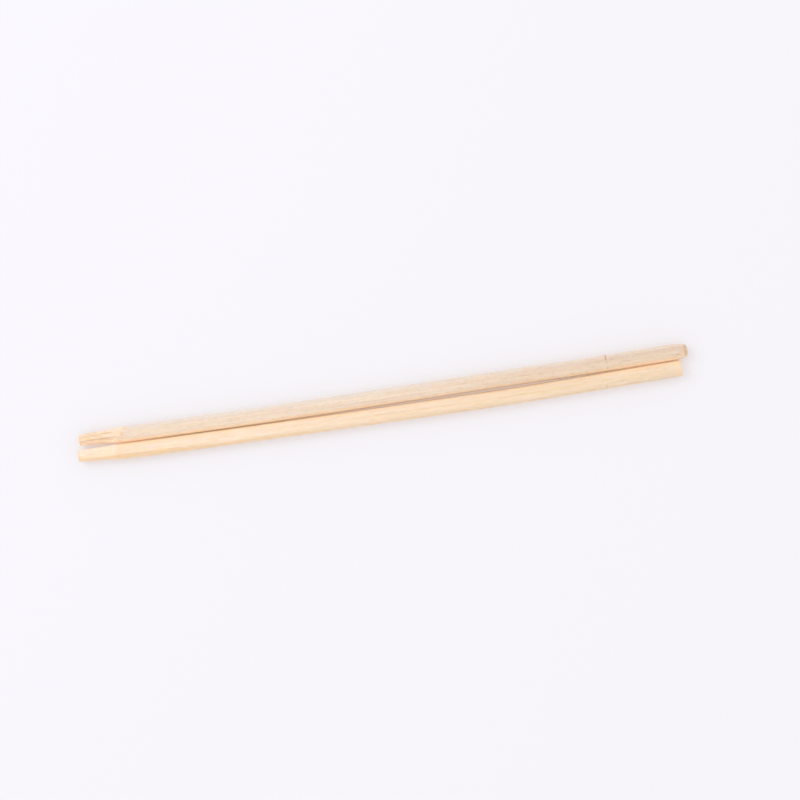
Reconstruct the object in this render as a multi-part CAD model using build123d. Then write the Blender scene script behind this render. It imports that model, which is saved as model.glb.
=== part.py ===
from build123d import *
import math
import os

# A pair of round bamboo chopsticks lying side by side on a flat surface.
# Millimetres, +Z up, +X towards the butt ends. Each stick is one milled piece:
# a flat-ended blunt cone at the tip, a round shank of constant diameter with a
# slight natural bow in the horizontal plane, and a butt with a worked edge.

# ---- driving dimensions -------------------------------------------------
SHANK_D = 6.2            # shank diameter, both sticks
TIP_D = 4.45             # diameter of the cone at its flat end
TIP_ROUND = 0.35         # rounding where the cone meets its flat end

REAR_LENGTH = 230.0      # along the stick
REAR_CONE = 17.0         # length of the ground tip cone
REAR_CONE_HOLLOW = 0.22  # how far the cone is hollow-ground, at its middle
REAR_BUTT_RUN = 6.0      # length over which the butt draws in
REAR_BUTT_ARC = 18.0     # radius of that curve, tangent to the shank
REAR_BUTT_ROUND = 0.8    # rounding where it meets the sawn face
REAR_START = (0.40, 2.958)      # tip end of the axis, plan view
REAR_SLOPE = -0.01166           # heading of the tip run, dy/dx

FRONT_LENGTH = 228.0
FRONT_CONE = 18.5
FRONT_CONE_HOLLOW = 0.0
FRONT_BUTT_RUN = 0.0     # cut square
FRONT_BUTT_ARC = 0.0
FRONT_BUTT_ROUND = 0.45
FRONT_START = (-0.65, -2.955)
FRONT_SLOPE = -0.02930

# The bow: runs of (length along the stick, signed bend radius), a positive
# radius turning towards +Y and 0 for straight. The last straight run takes up
# whatever length is left, so that each stick has its stated length.
REAR_RUNS = [(17.6, 0), (16.0, 5275.0), (16.0, 10653.0), (30.0, 2824.0),
             (24.0, 4003.0), (20.0, -8503.0), (18.0, 4927.0), (18.0, -13320.0),
             (16.0, -1306.0), (18.0, 1440.0), (18.0, 2049.0)]
FRONT_RUNS = [(18.65, 0), (16.0, 575.0), (16.0, -3195.0), (30.0, 11617.0),
              (24.0, 8624.0), (20.0, 8459.0), (18.0, 72122.0), (18.0, 3922.0),
              (16.0, 939.0), (18.0, -28440.0), (16.0, -12280.0)]

R = SHANK_D / 2.0


def end_profile(plane, length, r_end, r_mid, run, rounding):
    """Half-section of a stick end, in a plane whose x axis is the stick's: the
    radius goes from r_end at the flat end through r_mid to the shank's over
    run, along an arc, or a straight line where r_mid lies on one."""
    lines = []
    if run <= 0:
        lines.append(Line((0, R), (length, R)))
    else:
        if abs(r_mid - (r_end + R) / 2.0) < 1e-6:
            lines.append(Line((0, r_end), (run, R)))
        else:
            lines.append(ThreePointArc((0, r_end), (run / 2.0, r_mid), (run, R)))
        lines.append(Line((run, R), (length, R)))
    lines.append(Line((length, R), (length, 0)))
    lines.append(Line((length, 0), (0, 0)))
    lines.append(Line((0, 0), (0, r_end)))
    face = make_face(lines)
    corner = [v for v in face.vertices()
              if abs(v.X) < 1e-6 and v.Y > 1e-6]
    face = fillet(corner, rounding)
    return plane * face


def heading(angle):
    return Vector(math.cos(angle), math.sin(angle), 0)


def stick(length, start, slope, runs, cone, hollow, butt_run, butt_arc, butt_round):
    """One chopstick, its underside on z = 0."""
    angle = math.atan(slope)
    x, y = start
    pieces = []

    # Tip: flat end, small rounding, cone, then the first straight run.
    run0 = runs[0][0]
    d = heading(angle)
    at = Vector(x, y, R)
    tip_plane = Plane(origin=at, x_dir=d, z_dir=Vector(d.Y, -d.X, 0))
    r_tip = TIP_D / 2.0
    tip = revolve(end_profile(tip_plane, run0, r_tip, (r_tip + R) / 2.0 - hollow,
                              cone, TIP_ROUND),
                  axis=Axis(at, d), revolution_arc=360)
    pieces.append(tip)
    x, y = x + run0 * d.X, y + run0 * d.Y
    used = run0

    # Shank: tangent arcs, each a slice of a very large ring.
    for run, bend in runs[1:]:
        d = heading(angle)
        section = Plane(origin=(x, y, R), z_dir=d) * Circle(R)
        cx, cy = x - bend * d.Y, y + bend * d.X
        turn = run / bend
        axis = Axis((cx, cy, 0), (0, 0, 1 if turn > 0 else -1))
        pieces.append(revolve(section, axis=axis,
                              revolution_arc=math.degrees(abs(turn))))
        angle += turn
        x = cx + bend * math.sin(angle)
        y = cy - bend * math.cos(angle)
        used += run

    # Butt: the last straight run and its worked edge.
    rest = length - used
    d = heading(angle)
    at = Vector(x + rest * d.X, y + rest * d.Y, R)
    back = -d
    butt_plane = Plane(origin=at, x_dir=back, z_dir=Vector(back.Y, -back.X, 0))
    r_end = r_mid = R
    if butt_run > 0:
        r_end -= butt_arc - math.sqrt(butt_arc ** 2 - butt_run ** 2)
        r_mid -= butt_arc - math.sqrt(butt_arc ** 2 - (butt_run / 2.0) ** 2)
    pieces.append(revolve(end_profile(butt_plane, rest, r_end, r_mid,
                                      butt_run, butt_round),
                          axis=Axis(at, back), revolution_arc=360))

    whole = pieces[0]
    for p in pieces[1:]:
        whole = whole + p
    return whole, at, d


rear, rear_butt, rear_dir = stick(REAR_LENGTH, REAR_START, REAR_SLOPE,
                                  REAR_RUNS, REAR_CONE, REAR_CONE_HOLLOW,
                                  REAR_BUTT_RUN, REAR_BUTT_ARC, REAR_BUTT_ROUND)
front, front_butt, front_dir = stick(FRONT_LENGTH, FRONT_START, FRONT_SLOPE,
                                     FRONT_RUNS, FRONT_CONE, FRONT_CONE_HOLLOW,
                                     FRONT_BUTT_RUN, FRONT_BUTT_ARC, FRONT_BUTT_ROUND)

# Origin: middle of the pair's footprint, on the surface it lies on.
box = Compound(children=[rear, front]).bounding_box()
shift = Vector(-(box.min.X + box.max.X) / 2.0,
               -(box.min.Y + box.max.Y) / 2.0, -box.min.Z)

os.makedirs("parts", exist_ok=True)
for name, shape in (("rear_chopstick", rear), ("front_chopstick", front)):
    placed = Pos(shift) * shape
    solids = placed.solids()
    assert len(solids) == 1, (name, len(solids))
    export_step(solids[0], os.path.join("parts", name + ".step"))

print("shift", shift)
for name, at, d, start, slope in (
        ("rear", rear_butt, rear_dir, REAR_START, REAR_SLOPE),
        ("front", front_butt, front_dir, FRONT_START, FRONT_SLOPE)):
    a = math.atan(slope)
    print(name, "butt face centre", at + shift, "outward", d)
    print(name, "tip face centre", Vector(start[0], start[1], R) + shift,
          "outward", -heading(a))
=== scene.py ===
import math

import bpy
import numpy as np
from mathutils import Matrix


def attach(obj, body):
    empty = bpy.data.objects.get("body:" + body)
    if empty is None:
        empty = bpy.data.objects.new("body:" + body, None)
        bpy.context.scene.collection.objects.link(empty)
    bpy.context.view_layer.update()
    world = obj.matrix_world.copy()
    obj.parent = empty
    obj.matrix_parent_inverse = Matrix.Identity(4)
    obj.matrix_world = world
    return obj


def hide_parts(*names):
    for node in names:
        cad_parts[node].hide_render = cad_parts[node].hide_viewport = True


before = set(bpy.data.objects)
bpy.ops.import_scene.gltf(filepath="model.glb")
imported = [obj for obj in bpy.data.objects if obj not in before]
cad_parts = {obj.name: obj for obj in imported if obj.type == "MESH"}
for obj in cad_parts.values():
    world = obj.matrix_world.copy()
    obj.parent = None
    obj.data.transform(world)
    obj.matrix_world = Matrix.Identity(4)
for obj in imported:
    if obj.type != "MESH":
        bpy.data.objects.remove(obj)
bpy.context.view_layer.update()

# Everything below is worked out in millimetres and written in metres.
MM = 0.001
R = 3.1                  # shank radius
TIP_R = 2.225            # radius of the cone at its flat end
SHIFT = (-114.856, 0.177571)

STICKS = {
    "rear": dict(
        node="rear_chopstick", length=230.0, start=(0.40, 2.958), slope=-0.01166,
        cone=17.0, hollow=0.22, ground=16.0, tip_round=0.35,
        butt_run=6.0, butt_arc=18.0, butt_round=0.8, seed=11,
        runs=[(17.6, 0), (16.0, 5275.0), (16.0, 10653.0), (30.0, 2824.0), (24.0, 4003.0), (20.0, -8503.0),
              (18.0, 4927.0), (18.0, -13320.0), (16.0, -1306.0), (18.0, 1440.0), (18.0, 2049.0)],
        wall=2.35,           # direction of the culm's skin, round the stick
        inner=1.02, outer=0.62,
        slope_a=0.0042, slope_b=-0.0031,
        # the bamboo's nodes: where along the stick, and the broken pieces of
        # the scar as (from, to) round the stick, offset along it, how dark
        # the line is and how much of it is a wide orange mark
        nodes=[(199.2, [(-0.75, 1.22, 0.00, 0.45, 1.00), (1.36, 1.60, 0.10, 0.50, 0.05),
                        (1.74, 1.84, 0.05, 0.30, 0.00), (2.00, 2.36, 0.12, 0.65, 0.10),
                        (2.75, 4.05, -0.15, 0.60, 0.35), (4.30, 5.20, 0.10, 0.70, 0.60)])],
        ridge=1.0, flute=1.0, flutes=18, edge=0.0, lean=1.9, gold=[(4.6, 0.30, 60, 120, 0.5)],
        back=[(5.72, 0.42, -20, 260, 0.30)],
        inward=math.pi,      # where the other stick lies, round this one
        # far: where round the stick the painted sheen lies; fade: how much the painted crevice shade fades at the
        # butt
        far=(1.60, 2.60, 9.0, 9.5), fade=0.7, butt_flank_grey=1.0,
        # the butt, from its end: where the wear starts and is full, a band
        # and a thin line round it as (middle, half-width)
        worn=(0.58, 0.36), band=(1.12, 0.34), line=(0.63, 0.14),
    ),
    "front": dict(
        node="front_chopstick", length=228.0, start=(-0.65, -2.955), slope=-0.02930,
        cone=18.5, hollow=0.0, ground=14.0, tip_round=0.35,
        butt_run=0.0, butt_arc=0.0, butt_round=0.45, seed=29,
        runs=[(18.65, 0), (16.0, 575.0), (16.0, -3195.0), (30.0, 11617.0), (24.0, 8624.0), (20.0, 8459.0),
              (18.0, 72122.0), (18.0, 3922.0), (16.0, 939.0), (18.0, -28440.0), (16.0, -12280.0)],
        wall=-0.75,
        inner=1.10, outer=0.66,
        slope_a=-0.0018, slope_b=0.0024,
        nodes=[(198.6, [(0.60, 0.80, -0.62, 0.20, 0.00), (0.98, 1.20, -0.78, 0.34, 0.04),
                        (1.50, 1.72, -0.70, 0.24, 0.00), (2.08, 2.75, 0.46, 0.62, 0.12),
                        (3.45, 4.60, 0.20, 0.60, 0.40), (5.00, 5.90, -0.40, 0.50, 0.30)])],
        ridge=0.75, flute=0.42, flutes=17, edge=0.9, lean=0.2,
        # the first three golden streaks run along the lower edge and are partly painted warm edge shade
        gold=[(2.22, 0.34, 0, 50, 0.85), (2.42, 0.24, 40, 92, 0.75), (2.58, 0.26, 80, 205, 0.42), (5.2, 0.4, 90, 160, 0.5)],
        back=[(1.98, 0.34, 112, 198, 0.22)],
        inward=0.0, far=(1.40, 1.80, 1.95, 2.40), fade=0.6, butt_flank_grey=0.0,
        worn=(0.36, 0.20), band=(0.425, 0.27), line=(0.22, 0.12),
    ),
}

AROUND = 168             # vertices round a stick


def smooth(lo, hi, x):
    t = np.clip((x - lo) / (hi - lo), 0.0, 1.0)
    return t * t * (3.0 - 2.0 * t)


def waves(rng, x, lengths, size):
    """A smooth random wander of x: sines of about these wavelengths."""
    out = np.zeros_like(x)
    for w in lengths:
        w = w * rng.uniform(0.8, 1.25)
        out += rng.uniform(0.5, 1.0) * np.sin(2 * np.pi * (x / w + rng.uniform()))
    return size * out / math.sqrt(len(lengths))


# ---- the sticks' axes ---------------------------------------------------
def axis_at(k, s):
    """Points and headings of the stick's axis at the lengths s from the tip:
    a straight run, tangent arcs, and a straight run."""
    s = np.asarray(s, float)
    x = np.zeros_like(s)
    y = np.zeros_like(s)
    h = np.zeros_like(s)
    angle = math.atan(k["slope"])
    px, py = k["start"]
    at = 0.0
    runs = list(k["runs"]) + [(1e3, 0)]
    for i, (run, bend) in enumerate(runs):
        here = (s >= at) if i else np.ones(len(s), bool)
        d = s[here] - at
        if bend:
            a = angle + d / bend
            x[here] = px + bend * (np.sin(a) - math.sin(angle))
            y[here] = py - bend * (np.cos(a) - math.cos(angle))
            h[here] = a
            a = angle + run / bend
            px += bend * (math.sin(a) - math.sin(angle))
            py -= bend * (math.cos(a) - math.cos(angle))
            angle = a
        else:
            x[here] = px + d * math.cos(angle)
            y[here] = py + d * math.sin(angle)
            h[here] = angle
            px += run * math.cos(angle)
            py += run * math.sin(angle)
        at += run
    return x + SHIFT[0], y + SHIFT[1], h


# ---- the outline of a stick, from the tip's middle to the butt's --------
def outline(k):
    """(s, r, along-normal, out-normal, part) down the stick. part is 0 on the
    tip face, 1 on the side and 2 on the butt face."""
    L, cone, hollow = k["length"], k["cone"], k["hollow"]
    e, f = k["tip_round"], k["butt_round"]
    draw, arc = k["butt_run"], k["butt_arc"]
    slope = (R - TIP_R - 4 * hollow) / cone
    lean = math.atan(slope)
    # the tip's corner: an arc of radius e that meets the face and the cone
    cs = e
    cr = TIP_R + slope * e - e / math.cos(lean)
    pts = []
    for r in np.linspace(0.0, 1.0, 13)[:-1] ** 0.85 * cr:
        pts.append((0.0, r, -1.0, 0.0, 0))
    for a in np.linspace(0.0, math.pi / 2 - lean, 7)[:-1]:
        pts.append((cs - e * math.cos(a), cr + e * math.sin(a),
                    -math.cos(a), math.sin(a), 1))
    first = cs - e * math.sin(lean)
    # the butt's corner: an arc of radius f that meets the drawn-in side, which
    # curves away from the shank, and the face
    if draw > 0:
        reach = math.sqrt((arc - f) ** 2 - (draw - f) ** 2)
        flat = R - arc + reach
        meet = math.atan2(draw - f, reach)
        last = L - draw + arc * math.sin(meet)
    else:
        flat, meet, last = R - f, 0.0, L - f

    # spacing down the side: close at the ends and at the bamboo's nodes
    def step(s):
        d = 0.60
        d = min(d, 0.14 + 0.020 * abs(s))
        d = min(d, 0.30 + 0.05 * max(0.0, s - cone - 1.0))
        d = min(d, 0.12 + 0.06 * abs(L - s))
        for at, _ in k["nodes"]:
            d = min(d, 0.13 + 0.10 * max(0.0, abs(s - at) - 1.3))
        return d
    s = first
    side = []
    while s < last:
        side.append(s)
        s += step(s)
    side = np.array(side)
    side = first + (side - first) * (last - first) / (s - first)
    for s in side:
        if s < cone:
            q = s / cone
            a = math.atan((R - TIP_R - 4 * hollow * (1 - 2 * q)) / cone)
            pts.append((s, TIP_R + (R - TIP_R) * q - 4 * hollow * q * (1 - q),
                        -math.sin(a), math.cos(a), 1))
        elif s > L - draw:
            a = math.asin((s - L + draw) / arc)
            pts.append((s, R - arc + arc * math.cos(a), math.sin(a), math.cos(a), 1))
        else:
            pts.append((s, R, 0.0, 1.0, 1))
    for a in np.linspace(meet, math.pi / 2, 10):
        pts.append((L - f + f * math.sin(a), flat + f * math.cos(a),
                    math.sin(a), math.cos(a), 1))
    for r in (1.0 - np.linspace(0.0, 1.0, 14)[1:]) ** 0.85 * flat:
        pts.append((L, r, 1.0, 0.0, 2))
    p = np.array(pts)
    # ease the kink where the cone runs into the shank
    kink = (R - TIP_R + 4 * hollow) / cone
    near = np.abs(p[:, 0] - cone) < 1.8
    t = (p[near, 0] - cone) / 1.8
    p[near, 1] -= kink * 1.8 * 0.25 * (1 - np.abs(t)) ** 2
    return p


# ---- the bamboo's vascular bundles --------------------------------------
def bundles(k, rng):
    """Bundles through the section, closer together towards the culm's skin:
    (a, b, radius) rows, a pointing at the skin."""
    reach = R + 1.3
    kept = []
    for _ in range(7000):
        a, b = rng.uniform(-reach, reach, 2)
        if a * a + b * b > reach * reach:
            continue
        t = min(max((a + R) / (2 * R), 0.0), 1.0)
        d = (k["inner"] + (k["outer"] - k["inner"]) * t) * rng.uniform(0.9, 1.12)
        if all((a - p[0]) ** 2 + (b - p[1]) ** 2 > ((d + p[3]) / 2) ** 2 for p in kept):
            kept.append((a, b, d * rng.uniform(0.27, 0.34), d))
    return np.array(kept)


def build(name, k):
    rng = np.random.default_rng(k["seed"])
    p = outline(k)
    s, r, ns, nr, part = p.T
    M, N = len(p), AROUND
    phi = np.linspace(0.0, 2 * np.pi, N, endpoint=False)
    S = np.repeat(s[:, None], N, 1)
    A = r[:, None] * np.cos(phi - k["wall"])[None, :]
    B = r[:, None] * np.sin(phi - k["wall"])[None, :]

    # where each bundle runs: a shared wander and a little of its own, a drift
    # across the stick, and a stir at the nodes
    share_a = waves(rng, s, (150, 70, 38), 0.13) + k["slope_a"] * (s - 115)
    share_b = waves(rng, s, (140, 60, 33), 0.16) + k["slope_b"] * (s - 115)
    sheath = np.zeros((M, N))
    core = np.zeros((M, N))
    tone = np.zeros((M, N))
    for a, b, size, d in bundles(k, rng):
        pa = a + share_a + waves(rng, s, (46, 21), 0.045)
        pb = b + share_b + waves(rng, s, (52, 24), 0.055)
        grow = 1.0 + waves(rng, s, (60, 26), 0.10)
        for at, _ in k["nodes"]:
            near = np.exp(-((s - at) / 1.5) ** 2)
            pa = pa + near * rng.normal(0, 0.13)
            pb = pb + near * rng.normal(0, 0.16)
        dist = np.sqrt((A - pa[:, None]) ** 2 + (B - pb[:, None]) ** 2)
        q = dist / (size * grow)[:, None]
        m = 1.0 - smooth(0.55, 1.25, q)
        shade = rng.uniform(0.35, 1.0)
        tone = np.where(m > sheath, shade, tone)
        sheath = np.maximum(sheath, m)
        core = np.maximum(core, 1.0 - smooth(0.08, 0.55, q))

    # the bamboo's nodes: a broken, slightly jagged scar round the stick
    scar = np.zeros((M, N))
    mark = np.zeros((M, N))
    swell = np.zeros((M, N))
    for at, pieces in k["nodes"]:
        swell = np.maximum(swell, np.exp(-((S - at) / 1.1) ** 2))
        jag = 0.05 * np.sin(3 * phi + rng.uniform(0, 6)) \
            + 0.05 * np.sin(8 * phi + rng.uniform(0, 6)) \
            + 0.04 * np.sin(19 * phi + rng.uniform(0, 6))
        for lo, hi, off, dark, wide in pieces:
            turn = (phi - lo + 0.5 * (2 * np.pi - hi + lo)) % (2 * np.pi) \
                - 0.5 * (2 * np.pi - hi + lo)
            inside = smooth(-0.07, 0.09, turn) * smooth(-0.07, 0.09, hi - lo - turn)
            d = S - (at + off + jag)[None, :]
            grow = 0.75 + 0.25 * np.sin(6 * phi + rng.uniform(0, 6))
            line = np.exp(-(d / (0.16 + 0.06 * wide)) ** 2) * (inside * dark)[None, :]
            scar = np.maximum(scar, line)
            blot = np.exp(-(np.abs(d) / (0.12 + 0.11 * grow)) ** 3) \
                * (inside * wide)[None, :]
            mark = np.maximum(mark, blot)

    # long golden streaks in the bamboo; on the front, those along its lower edge
    # are partly painted light: the warm, saturated shade that light gives at that edge
    gold = np.zeros((M, N))
    own = np.random.default_rng(k["seed"] + 1)
    for (where, wide, lo, hi, amount), luck in [(g, rng) for g in k["gold"]] + [(g, own) for g in k["back"]]:
        ang = np.angle(np.exp(1j * (phi[None, :] - where
                                    - waves(luck, s, (120, 55), 0.06)[:, None])))
        gold = np.maximum(gold, amount * np.exp(-(ang / wide) ** 2)
                          * (smooth(lo - 5, lo + 6, s) * (1 - smooth(hi - 16, hi + 16, s)))[:, None])

    # flutes that the grinding leaves down the tip's cone
    flute = np.zeros((M, N))
    count = k["flutes"]
    for i in range(count):
        where = 2 * np.pi * (i + rng.uniform(-0.3, 0.3)) / count + rng.uniform(-0.08, 0.08) * s / 10
        wide = rng.uniform(1.3, 2.4) / count * (1 + 0.25 * np.sin(s / rng.uniform(1.6, 3.2) + rng.uniform(0, 6)))
        lo, hi = rng.uniform(-4.0, 1.5), rng.uniform(0.45, 1.05) * k["ground"]
        deep = rng.uniform(0.35, 1.0) * smooth(lo, lo + 2.5, s) * (1 - smooth(hi - 3.5, hi, s))
        ang = np.angle(np.exp(1j * (phi[None, :] - where[:, None])))
        flute = np.maximum(flute, deep[:, None] * np.exp(-(ang / wide[:, None]) ** 2))
    flute = flute * (part == 1)[:, None] * smooth(0.0, 0.5, s)[:, None]

    # the ground surface's far edge, uneven from fibre to fibre
    edge = k["ground"] + k["edge"] + k["lean"] * np.cos(phi) \
        + 0.45 * np.sin(7 * phi + rng.uniform(0, 6)) \
        + 0.50 * np.sin(17 * phi + rng.uniform(0, 6)) \
        + 0.35 * np.sin(29 * phi + rng.uniform(0, 6))
    on_cone = 1.0 - smooth(-0.9, 0.9, S - edge[None, :])
    L = k["length"]
    end_tip = np.where(part == 0, 1.0, 1.0 - smooth(0.0, 1.2, s))
    end_butt = np.where(part == 2, 1.0, smooth(L - k["worn"][0], L - k["worn"][1], s))
    wobble = 0.07 * np.sin(3 * phi + 1.0) + 0.05 * np.sin(8 * phi)
    back = L - S + wobble[None, :]
    ring_butt = np.exp(-(np.abs(back - k["band"][0]) / k["band"][1]) ** 3) * (part == 1)[:, None]
    ring_dark = np.exp(-((back - k["line"][0]) / k["line"][1]) ** 2) * (part == 1)[:, None] \
        * (0.55 + 0.45 * smooth(0.70, 0.98, np.cos(phi - 0.35)))[None, :]

    # the side turned to the other stick gets a painted warm glow, standing in for light
    # bounced between the sticks, and painted shade in the crevice where they touch;
    # the far upper side a pale painted sheen; the butt half is a little darker than the tip half
    turn = np.abs(np.angle(np.exp(1j * (phi - k["inward"]))))
    # painted light: the flank that faces the other stick is painted warmer and brighter, for light bounced between
    # the sticks; less of it where the gap opens
    painted_bounce_glow = (1.0 - smooth(0.40, 1.18, turn))[None, :] * (1.0 - on_cone)
    # painted light: the cone's flank that faces the other stick is painted lighter against the shade between the
    # tips
    cone_painted_light = (1.0 - smooth(0.35, 1.30, turn))[None, :] * on_cone * (part == 1)[:, None]
    open_gap = smooth(92.0, 135.0, s) * (1.0 - smooth(182.0, 204.0, s))
    painted_bounce_glow = painted_bounce_glow * (1.0 - 0.14 * smooth(36.0, 62.0, s) * (1.0 - smooth(190.0, 212.0, s)) - 0.26 * open_gap)[:, None]
    # painted shade: darker where the sticks touch, fading near the tip, at the butt and where the gap opens
    painted_crevice_shade = (1.0 - smooth(0.18, 0.44, turn))[None, :] * (1.0 - on_cone)
    painted_crevice_shade = painted_crevice_shade * (1.0 - k["fade"] * smooth(190.0, 215.0, s))[:, None]
    painted_crevice_shade = painted_crevice_shade * (smooth(18.0, 44.0, s) * (1.0 - 0.10 * open_gap))[:, None]
    # painted sheen: the upper flank away from the other stick is painted paler, as a hazy reflection, less towards
    # the butt
    painted_sheen_side = smooth(k["far"][0], k["far"][1], turn) * (1.0 - smooth(k["far"][2], k["far"][3], turn))
    painted_sheen_side = painted_sheen_side * smooth(0.06, 0.36, np.sin(phi))
    painted_sheen_side = painted_sheen_side[None, :] * (1.0 - 0.35 * smooth(70.0, 190.0, s) - 0.45 * smooth(160.0, 215.0, s))[:, None]
    # greyer and a little darker on the upper flank away from the other stick, in the butt half
    butt_flank_grey = k["butt_flank_grey"] * smooth(120.0, 215.0, s)[:, None] \
        * (smooth(1.45, 2.10, turn) * smooth(0.30, 0.90, np.sin(phi)))[None, :]
    butt_half = np.repeat((0.72 * smooth(55.0, 195.0, s) + 0.28 * smooth(175.0, 222.0, s))[:, None], N, 1)

    # relief, along the outline's normal: fibres that stand proud with a fine
    # open groove down their middle, slight ovality and waviness, the scar
    rib = np.where((part == 1)[:, None], k["ridge"] * (1 + 0.8 * on_cone), 1.3)
    lift = rib * (0.010 * sheath - 0.026 * core)
    lift += -0.085 * k["flute"] * flute
    oval = 0.016 * np.cos(2 * (phi[None, :] - waves(rng, s, (170, 90), 0.6)[:, None])) \
        + 0.008 * np.cos(3 * (phi[None, :] + waves(rng, s, (140, 60), 0.5)[:, None]))
    flats = np.zeros((M, N))
    for _ in range(7):           # long, very shallow flats left by the milling
        where = rng.uniform(0, 2 * np.pi)
        wide = rng.uniform(0.16, 0.3)
        reach = waves(rng, s, (90, 40), 0.6)
        ang = np.angle(np.exp(1j * (phi - where)))
        flats -= 0.014 * np.exp(-(ang / wide) ** 2)[None, :] \
            * smooth(-0.2, 0.9, reach)[:, None]
    wavy = waves(rng, s, (34, 13), 0.006)[:, None]
    side = (part == 1)[:, None] * smooth(0.0, 0.3, r / R)[:, None]
    lift += side * (oval - 0.016 + flats + wavy)
    lift += side * (0.012 * swell - 0.040 * scar - 0.030 * mark)
    # the sawn faces: a slight dish, saw lines, sunken bundles
    face = (part != 1)[:, None]
    saw = 0.010 * np.sin((A * 0.8 + B * 0.6) * 5.1 + 0.6 * np.sin(B * 1.7))
    lift += face * (saw - 0.045 * sheath - 0.02)
    # the ends' rims are a little frayed, fibre by fibre
    rim = np.exp(-((s - 0.15) / 0.35) ** 2) * (part == 1)
    lift += -0.07 * k["flute"] * rim[:, None] * smooth(0.2, 0.9, 1 - sheath)

    pole = (r < 1e-6)
    for i in np.where(pole)[0]:
        lift[i] = lift[i].mean()

    # into space
    x, y, h = axis_at(k, s)
    rr = r[:, None] + lift * nr[:, None]
    ss = lift * ns[:, None]
    out_y, up = rr * np.cos(phi)[None, :], rr * np.sin(phi)[None, :]
    ch, sh = np.cos(h)[:, None], np.sin(h)[:, None]
    X = x[:, None] + ss * ch - out_y * sh
    Y = y[:, None] + ss * sh + out_y * ch
    Z = R + up
    co = np.stack([X, Y, Z], -1)
    # axis_at() at the ends: s already holds the flat faces
    grain = np.stack([S, A, B], -1)

    # vertices: a pole, rings, a pole
    ring = ~pole
    n_ring = int(ring.sum())
    verts = np.concatenate([co[0, :1], co[ring].reshape(-1, 3), co[-1, :1]])

    def per_vertex(v):
        v = np.broadcast_to(v, (M, N) + v.shape[2:])
        return np.concatenate([v[0, :1], v[ring].reshape((-1,) + v.shape[2:]), v[-1, :1]])

    idx = 1 + np.arange(n_ring * N).reshape(n_ring, N)
    nxt = np.roll(idx, -1, axis=1)
    quads = np.stack([idx[:-1], nxt[:-1], nxt[1:], idx[1:]], -1).reshape(-1, 4)
    cap0 = np.stack([np.zeros(N, int), nxt[0], idx[0]], -1)
    endv = len(verts) - 1
    cap1 = np.stack([np.full(N, endv), idx[-1], nxt[-1]], -1)

    mesh = bpy.data.meshes.new(name + "_stick")
    loops = np.concatenate([quads.ravel(), cap0.ravel(), cap1.ravel()])
    counts = np.concatenate([np.full(len(quads), 4), np.full(2 * N, 3)])
    starts = np.concatenate([[0], np.cumsum(counts)[:-1]])
    mesh.vertices.add(len(verts))
    mesh.vertices.foreach_set("co", (verts * MM).astype(np.float32).ravel())
    mesh.loops.add(len(loops))
    mesh.loops.foreach_set("vertex_index", loops.astype(np.int32))
    mesh.polygons.add(len(counts))
    mesh.polygons.foreach_set("loop_start", starts.astype(np.int32))
    mesh.polygons.foreach_set("use_smooth", np.ones(len(counts), bool))

    # map: the side in two long strips, the two faces beside each other below
    first_side = int(np.argmax(part[ring] == 1))
    last_side = n_ring - 1 - int(np.argmax(part[ring][::-1] == 1))
    s_ring, r_ring = s[ring], r[ring]
    run = np.concatenate([[0], np.cumsum(np.hypot(np.diff(s_ring), np.diff(r_ring)))])
    lo, hi = run[first_side], run[last_side]
    mid = int(np.argmin(np.abs(run - (lo + hi) / 2)))
    uv = np.zeros((len(loops), 2))
    q = np.arange(len(quads))
    qi, qj = q // N, q % N
    corner_i = np.stack([qi, qi, qi + 1, qi + 1], -1)
    corner_j = np.stack([qj, qj + 1, qj + 1, qj], -1)
    strip = (qi >= mid).astype(int)
    a0 = np.where(strip == 0, lo, run[mid])
    a1 = np.where(strip == 0, run[mid], hi)
    u = 0.01 + 0.98 * (run[corner_i] - a0[:, None]) / (a1 - a0)[:, None]
    v = 0.135 + 0.4325 * strip[:, None] + 0.4225 * corner_j / N
    on_face = (qi < first_side) | (qi >= last_side)
    which = (qi >= last_side).astype(float)
    ang = 2 * np.pi * corner_j / N
    rad = 0.058 * r_ring[corner_i] / R
    fu = 0.07 + 0.13 * which[:, None] + rad * np.cos(ang)
    fv = 0.064 + rad * np.sin(ang)
    uv[:len(quads) * 4, 0] = np.where(on_face[:, None], fu, u).ravel()
    uv[:len(quads) * 4, 1] = np.where(on_face[:, None], fv, v).ravel()
    base = len(quads) * 4
    for c, (w, rr0, tri) in enumerate(((0, r_ring[0], cap0), (1, r_ring[-1], cap1))):
        j = np.arange(N)
        js = np.stack([j, j + 1, j], -1) if c == 0 else np.stack([j, j, j + 1], -1)
        a = 2 * np.pi * js / N
        rad = np.full((N, 3), 0.058 * rr0 / R)
        rad[:, 0] = 0.0
        block = np.stack([0.07 + 0.13 * w + rad * np.cos(a),
                          0.064 + rad * np.sin(a)], -1)
        at = base + c * 3 * N
        uv[at:at + 3 * N] = block.reshape(-1, 2)
    layer = mesh.uv_layers.new(name="OFBake")
    layer.data.foreach_set("uv", uv.astype(np.float32).ravel())

    mesh.update()
    mesh.validate()

    def put(label, values, kind="FLOAT"):
        at = mesh.attributes.new(label, kind, "POINT")
        key = "vector" if kind == "FLOAT_VECTOR" else "value"
        at.data.foreach_set(key, per_vertex(values).astype(np.float32).ravel())

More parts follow.
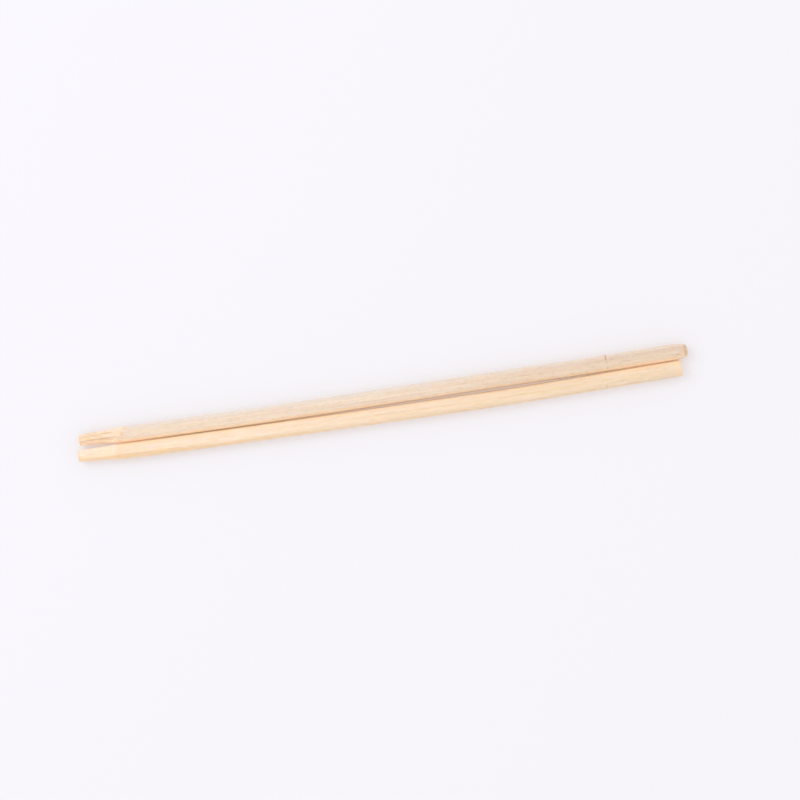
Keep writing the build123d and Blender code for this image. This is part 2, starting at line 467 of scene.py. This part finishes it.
    put("grain", grain, "FLOAT_VECTOR")
    put("sheath", sheath)
    put("core", core)
    put("tone", tone)
    put("scar", scar)
    put("mark", mark)
    put("flute", flute)
    put("gold", gold)
    put("cone", on_cone)
    put("painted_bounce_glow", painted_bounce_glow)
    put("cone_painted_light", cone_painted_light)
    put("painted_crevice_shade", painted_crevice_shade)
    put("painted_sheen_side", painted_sheen_side)
    put("butt_half", butt_half)
    put("butt_flank_grey", butt_flank_grey)
    put("tip_end", np.repeat(end_tip[:, None], N, 1))
    put("butt_end", np.repeat(end_butt[:, None], N, 1))
    put("butt_ring", ring_butt)
    put("ring_dark", ring_dark)

    o = bpy.data.objects.new(name + "_bamboo", mesh)
    bpy.context.scene.collection.objects.link(o)
    return o


# ---- bamboo -------------------------------------------------------------
class Nodes:
    """Small helpers for a material's node tree."""

    def __init__(self, name):
        self.mat = bpy.data.materials.new(name)
        self.mat.use_nodes = True
        self.t = self.mat.node_tree
        self.t.nodes.clear()
        self.out = self.t.nodes.new("ShaderNodeOutputMaterial")
        self.bsdf = self.t.nodes.new("ShaderNodeBsdfPrincipled")
        self.link(self.bsdf.outputs["BSDF"], self.out.inputs["Surface"])

    def link(self, a, b):
        self.t.links.new(a, b)

    def set(self, socket, v):
        if hasattr(v, "is_output"):
            self.link(v, socket)
        elif isinstance(v, tuple) and len(v) == 3 and socket.type == "RGBA":
            socket.default_value = v + (1.0,)
        else:
            socket.default_value = v

    def attr(self, label, vector=False):
        n = self.t.nodes.new("ShaderNodeAttribute")
        n.attribute_name = label
        return n.outputs["Vector" if vector else "Fac"]

    def stretch(self, v, scale):
        n = self.t.nodes.new("ShaderNodeVectorMath")
        n.operation = "MULTIPLY"
        self.link(v, n.inputs[0])
        n.inputs[1].default_value = scale
        return n.outputs[0]

    def noise(self, v, scale, detail=3.0, rough=0.55, distort=0.0):
        n = self.t.nodes.new("ShaderNodeTexNoise")
        self.link(self.stretch(v, scale), n.inputs["Vector"])
        n.inputs["Scale"].default_value = 1.0
        n.inputs["Detail"].default_value = detail
        n.inputs["Roughness"].default_value = rough
        n.inputs["Distortion"].default_value = distort
        return n.outputs[0]

    def math(self, op, a, b=None, c=None, clamp=False):
        n = self.t.nodes.new("ShaderNodeMath")
        n.operation = op
        n.use_clamp = clamp
        for i, v in enumerate((a, b, c)):
            if v is not None:
                self.set(n.inputs[i], v)
        return n.outputs[0]

    def ramp(self, v, lo, hi, to_lo=0.0, to_hi=1.0, smooth=True):
        n = self.t.nodes.new("ShaderNodeMapRange")
        n.interpolation_type = "SMOOTHSTEP" if smooth else "LINEAR"
        n.clamp = True
        self.link(v, n.inputs["Value"])
        n.inputs["From Min"].default_value = lo
        n.inputs["From Max"].default_value = hi
        n.inputs["To Min"].default_value = to_lo
        n.inputs["To Max"].default_value = to_hi
        return n.outputs["Result"]

    def mix(self, fac, a, b, kind="MIX"):
        n = self.t.nodes.new("ShaderNodeMix")
        n.data_type = "RGBA"
        n.blend_type = kind
        n.clamp_factor = True
        self.set(n.inputs[0], fac)
        self.set(n.inputs[6], a)
        self.set(n.inputs[7], b)
        return n.outputs[2]


def bamboo(name, c):
    n = Nodes(name)
    grain = n.attr("grain", True)
    sheath, core, tone = n.attr("sheath"), n.attr("core"), n.attr("tone")
    scar, mark, flute, gold = n.attr("scar"), n.attr("mark"), n.attr("flute"), n.attr("gold")
    cone, tip_end = n.attr("cone"), n.attr("tip_end")
    painted_bounce_glow, painted_sheen_side, painted_crevice_shade = n.attr("painted_bounce_glow"), n.attr("painted_sheen_side"), n.attr("painted_crevice_shade")
    butt_half, cone_painted_light = n.attr("butt_half"), n.attr("cone_painted_light")
    butt_end, butt_ring, ring_dark = n.attr("butt_end"), n.attr("butt_ring"), n.attr("ring_dark")

    broad = n.noise(grain, (0.011, 0.33, 0.33), 2.0)             # slow drift
    cloud = n.noise(grain, (0.085, 0.62, 0.62), 3.0, 0.55)       # mottling
    bands = n.noise(grain, (0.020, 1.25, 1.25), 3.0, 0.6)        # wide streaks
    dash = n.noise(grain, (c["dash"], 3.1, 3.1), 3.0, 0.55)      # short flecks
    pore = n.noise(grain, (1.35 * c["dash"], 5.0, 5.0), 2.0, 0.5)  # cut vessels
    fibre = n.noise(grain, (0.055, 5.2, 5.2), 4.0, 0.62)         # fibres
    fine = n.noise(grain, (0.17, 15.0, 15.0), 3.0, 0.6)          # fibrils
    cells = n.noise(grain, (2.2, 9.0, 9.0), 2.0, 0.55)           # ground tissue
    patch = n.noise(grain, (0.42, 1.75, 1.75), 3.0, 0.55)        # patches on the tip
    tint = n.noise(grain, (0.31, 1.30, 1.30), 1.0, 0.5)          # honey and pale

    # ground tissue, in slow and wide streaks, a little mottled
    col = n.mix(n.ramp(bands, 0.36, 0.64), c["pale"], c["mid"])
    col = n.mix(n.ramp(cloud, 0.42, 0.66, 0.0, c["mottle"]), col, c["grey"])
    col = n.mix(n.ramp(broad, 0.35, 0.68, 0.0, c["drift"]), col, c["warm"])
    # painted sheen: paler on the far upper flank
    col = n.mix(n.math("MULTIPLY", painted_sheen_side, c["far_amount"]), col, c["far"])
    # painted light: warm glow on the flank that faces the other stick
    col = n.mix(n.math("MULTIPLY", painted_bounce_glow, n.ramp(bands, 0.30, 0.60, 0.80, 1.0)), col, c["near"])
    # painted shade in the crevice where the sticks touch
    col = n.mix(n.math("MULTIPLY", painted_crevice_shade, n.ramp(bands, 0.30, 0.60, 0.75, 1.0)), col, c["painted_crevice_shade"])
    col = n.mix(n.math("MULTIPLY", gold, n.ramp(fibre, 0.30, 0.62, 0.45, 1.0)), col, c["gold"])
    # fibre bundles, uneven along their length
    along = n.ramp(dash, 0.36, 0.62, 0.15, 1.0)
    strength = n.math("MULTIPLY", n.math("MULTIPLY", sheath, along), tone)
    # fibres show less under the painted sheen
    strength = n.math("MULTIPLY", strength, n.ramp(painted_sheen_side, 0.0, 1.0, 1.0, 0.45, False))
    col = n.mix(n.math("MULTIPLY", strength, c["bundle"]), col, c["sheath"])
    # the open grooves down the bundles
    groove = n.math("MULTIPLY", core, n.ramp(fine, 0.44, 0.60))
    col = n.mix(n.math("MULTIPLY", groove, c["groove"]), col, c["dark"])
    # flecks where a bundle is cut aslant
    fleck = n.math("MULTIPLY", n.ramp(dash, 0.55, 0.70), n.ramp(fine, 0.36, 0.54, 0.35, 1.0))
    fleck = n.math("MULTIPLY", fleck, n.ramp(butt_half, 0.0, 1.0, 0.70, 1.30, False))
    col = n.mix(n.math("MULTIPLY", fleck, c["fleck"]), col, c["dark"])
    col = n.mix(n.ramp(pore, 0.52, 0.68, 0.0, c["pore"]), col, c["dark"])
    # fibrils: a fine light and dark over everything
    col = n.mix(n.ramp(fine, 0.30, 0.70, 0.0, c["fibril"], False), col, c["shade"],
                "MULTIPLY")
    col = n.mix(n.ramp(fibre, 0.30, 0.70, c["fibril"], 0.0, False), col, c["lift"],
                "SCREEN")
    col = n.mix(1.0, col, n.mix(n.ramp(tint, 0.34, 0.66), c["cool"], c["honey"]), "MULTIPLY")
    # a little darker towards the butt, except on the flank facing the other stick
    open_half = n.math("MULTIPLY", butt_half, n.math("SUBTRACT", 1.0, painted_bounce_glow))
    col = n.mix(open_half, col, c["butt_dim"], "MULTIPLY")
    # greyer and a little darker on the upper flank of the butt half
    col = n.mix(n.attr("butt_flank_grey"), col, c["butt_flank_grey"], "MULTIPLY")
    # the ground tip: warmer, with coarse light and dark fibre and golden patches
    bare = n.math("MULTIPLY", cone, n.math("SUBTRACT", 1.0, gold))
    col = n.mix(n.math("MULTIPLY", bare, c["tip_pale"]), col, c["cream"])
    col = n.mix(n.math("MULTIPLY", n.math("MULTIPLY", cone, n.ramp(patch, 0.50, 0.64)),
                       c["tip_gold"]), col, c["gold"])
    # painted light on the cone's flank that faces the other stick
    col = n.mix(n.math("MULTIPLY", cone_painted_light, c["cone_painted_light"]), col, c["lit"])
    deep = n.math("MULTIPLY", flute, n.ramp(fibre, 0.34, 0.58, 0.35, 1.0))
    col = n.mix(n.math("MULTIPLY", deep, c["tip"]), col, c["flute"])
    # where the cone starts: a faint broken ring
    ring = n.math("MULTIPLY", n.math("MULTIPLY", cone, n.math("SUBTRACT", 1.0, cone)), 4.0)
    ring = n.math("MULTIPLY", ring, n.ramp(dash, 0.40, 0.60, 0.15, 1.0))
    col = n.mix(n.math("MULTIPLY", ring, c["ring"]), col, c["burr"])
    # the node's scar: a thin broken line, and an orange mark
    col = n.mix(n.math("MULTIPLY", mark, n.ramp(cells, 0.26, 0.50, 0.6, 1.0)), col, c["mark"])
    col = n.mix(n.math("MULTIPLY", scar, n.ramp(cells, 0.30, 0.55, 0.35, 1.0)), col, c["scar"])
    # cut ends drink more light
    col = n.mix(n.math("MULTIPLY", tip_end, c["tip_end"]), col, c["end"])
    worn = n.math("MULTIPLY", butt_end, n.ramp(fibre, 0.30, 0.62, 0.70, 1.0))
    col = n.mix(n.math("MULTIPLY", worn, c["butt_end"]), col, c["butt"])
    worn = n.math("MULTIPLY", butt_ring, n.ramp(fibre, 0.30, 0.62, 0.65, 1.0))
    col = n.mix(n.math("MULTIPLY", worn, c["butt_ring"]), col, c["rim"])
    col = n.mix(n.math("MULTIPLY", ring_dark, c["butt_ring"]), col, c["seam"])
    n.link(col, n.bsdf.inputs["Base Color"])

    rough = n.ramp(fibre, 0.3, 0.7, 0.66, 0.50, False)
    rough = n.math("SUBTRACT", rough, n.math("MULTIPLY", sheath, 0.07))
    rough = n.math("ADD", rough, n.math("MULTIPLY", tip_end, 0.12))
    rough = n.math("ADD", rough, n.math("MULTIPLY", butt_end, 0.12), clamp=True)
    n.link(rough, n.bsdf.inputs["Roughness"])

    height = n.math("MULTIPLY", fibre, 0.9)
    height = n.math("ADD", height, n.math("MULTIPLY", fine, 0.55))
    height = n.math("ADD", height, n.math("MULTIPLY", cells, 0.18))
    height = n.math("SUBTRACT", height, n.math("MULTIPLY", groove, 0.9))
    height = n.math("SUBTRACT", height, n.math("MULTIPLY", fleck, 0.5))
    height = n.math("SUBTRACT", height, n.math("MULTIPLY", scar, 0.8))
    bump = n.t.nodes.new("ShaderNodeBump")
    bump.inputs["Strength"].default_value = 0.55
    bump.inputs["Distance"].default_value = 0.00004
    n.link(height, bump.inputs["Height"])
    n.link(bump.outputs["Normal"], n.bsdf.inputs["Normal"])
    n.bsdf.inputs["IOR"].default_value = 1.45
    n.bsdf.inputs["Specular IOR Level"].default_value = 0.28
    # light soaks a little way into the fibre, red furthest
    n.bsdf.inputs["Subsurface Weight"].default_value = 1.0
    n.bsdf.inputs["Subsurface Radius"].default_value = (1.0, 0.75, 0.55)
    n.bsdf.inputs["Subsurface Scale"].default_value = 0.0024
    return n.mat


LOOKS = {
    "rear": dict(
        pale=(0.815, 0.702, 0.590), mid=(0.755, 0.628, 0.508), warm=(0.750, 0.608, 0.460),
        grey=(0.715, 0.585, 0.480), cream=(0.840, 0.685, 0.535), gold=(0.790, 0.520, 0.245),
        sheath=(0.640, 0.470, 0.325), dark=(0.400, 0.255, 0.155), flute=(0.520, 0.290, 0.105),
        mark=(0.640, 0.340, 0.165), scar=(0.400, 0.240, 0.130),
        end=(0.540, 0.330, 0.190), butt=(0.560, 0.460, 0.370), rim=(0.640, 0.370, 0.180), seam=(0.340, 0.260, 0.200),
        shade=(0.870, 0.850, 0.825), lift=(0.110, 0.105, 0.095),
        near=(0.985, 0.715, 0.455), painted_crevice_shade=(0.640, 0.430, 0.265), far=(0.728, 0.646, 0.582), far_amount=0.85,
        butt_dim=(0.970, 0.955, 0.940), butt_flank_grey=(0.930, 0.905, 0.925), lit=(0.990, 0.800, 0.600), burr=(0.720, 0.470, 0.240), cone_painted_light=0.80,
        cool=(0.998, 1.008, 1.040), honey=(1.002, 0.990, 0.958),
        dash=0.44, drift=0.40, mottle=0.28, bundle=0.40, groove=0.36, fleck=0.28, pore=0.14, fibril=0.60,
        tip=0.95, tip_pale=0.60, tip_gold=0.62, ring=0.55,
        tip_end=0.40, butt_end=0.75, butt_ring=0.80),
    "front": dict(
        pale=(0.856, 0.712, 0.602), mid=(0.814, 0.666, 0.500), warm=(0.802, 0.636, 0.466),
        grey=(0.772, 0.625, 0.490), cream=(0.880, 0.730, 0.614), gold=(0.815, 0.575, 0.315),
        sheath=(0.765, 0.562, 0.322), dark=(0.450, 0.310, 0.190), flute=(0.720, 0.510, 0.290),
        mark=(0.620, 0.330, 0.150), scar=(0.430, 0.280, 0.170),
        end=(0.610, 0.460, 0.350), butt=(0.640, 0.510, 0.390), rim=(0.640, 0.400, 0.220), seam=(0.520, 0.400, 0.300),
        shade=(0.885, 0.850, 0.800), lift=(0.090, 0.085, 0.070),
        near=(0.975, 0.725, 0.490), painted_crevice_shade=(0.640, 0.430, 0.265), far=(0.875, 0.745, 0.605), far_amount=0.70,
        butt_dim=(0.966, 0.968, 0.944), butt_flank_grey=(0.950, 0.930, 0.930), lit=(0.965, 0.785, 0.695), burr=(0.715, 0.530, 0.340), cone_painted_light=0.80,
        cool=(0.998, 1.012, 1.058), honey=(1.002, 0.985, 0.940),
        dash=0.25, drift=0.40, mottle=0.30, bundle=0.74, groove=0.40, fleck=0.22, pore=0.13, fibril=0.70,
        tip=0.55, tip_pale=0.42, tip_gold=0.34, ring=0.50,
        tip_end=0.85, butt_end=0.55, butt_ring=0.25),
}

for key, k in STICKS.items():
    piece = build(key, k)
    piece.data.materials.append(bamboo(key + "_bamboo", LOOKS[key]))
    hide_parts(k["node"])
    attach(piece, "root")

# ---- floor, light and camera --------------------------------------------
floor_mesh = bpy.data.meshes.new("floor")
floor_mesh.from_pydata([(-6, -6, 0), (6, -6, 0), (6, 6, 0), (-6, 6, 0)], [], [(0, 1, 2, 3)])
floor = bpy.data.objects.new("floor", floor_mesh)
bpy.context.scene.collection.objects.link(floor)
f = Nodes("floor")
f.bsdf.inputs["Base Color"].default_value = (0.379, 0.466, 0.567, 1.0)
f.bsdf.inputs["Emission Color"].default_value = (1.0, 0.735, 0.575, 1.0)
f.bsdf.inputs["Emission Strength"].default_value = 0.47
f.bsdf.inputs["Roughness"].default_value = 0.9
f.bsdf.inputs["Specular IOR Level"].default_value = 0.2
floor_mesh.materials.append(f.mat)

ROLL = math.radians(-8.236)
right = (math.cos(ROLL), math.sin(ROLL))
up = (-math.sin(ROLL), math.cos(ROLL))


def lamp(name, along, across, high, size, watts, colour=(1.0, 1.0, 1.0)):
    """A square soft light, aimed at the middle of the object. along and across
    are to the picture's right and up."""
    data = bpy.data.lights.new(name, "AREA")
    data.shape = "SQUARE"
    data.size = size
    data.energy = watts
    data.color = colour
    o = bpy.data.objects.new(name, data)
    at = (along * right[0] + across * up[0], along * right[1] + across * up[1], high)
    o.location = at
    n = math.sqrt(sum(v * v for v in at))
    o.rotation_mode = "QUATERNION"
    from mathutils import Vector
    o.rotation_quaternion = Vector([-v / n for v in at]).to_track_quat("-Z", "Y")
    bpy.context.scene.collection.objects.link(o)
    return o


lamp("key", -0.85, 0.45, 1.15, 0.9, 6.0)

world = bpy.data.worlds.new("studio")
world.use_nodes = True
bg = world.node_tree.nodes["Background"]
bg.inputs["Color"].default_value = (1.0, 1.0, 1.0, 1.0)
bg.inputs["Strength"].default_value = 1.05
bpy.context.scene.world = world

LENS, SENSOR = 85.0, 36.0
WIDE = 0.2996            # metres across the frame at the sticks' axes
cam_data = bpy.data.cameras.new("camera")
cam_data.lens = LENS
cam_data.sensor_width = SENSOR
cam_data.sensor_fit = "HORIZONTAL"
cam = bpy.data.objects.new("camera", cam_data)
cam.location = (0.006512, 0.000876, R * MM + WIDE * LENS / SENSOR)
cam.rotation_euler = (0.0, 0.0, ROLL)
bpy.context.scene.collection.objects.link(cam)
bpy.context.scene.camera = cam

bpy.context.scene.view_settings.view_transform = "Standard"
bpy.context.scene.view_settings.look = "None"
bpy.context.scene.cycles.max_bounces = 16
bpy.context.scene.cycles.diffuse_bounces = 16
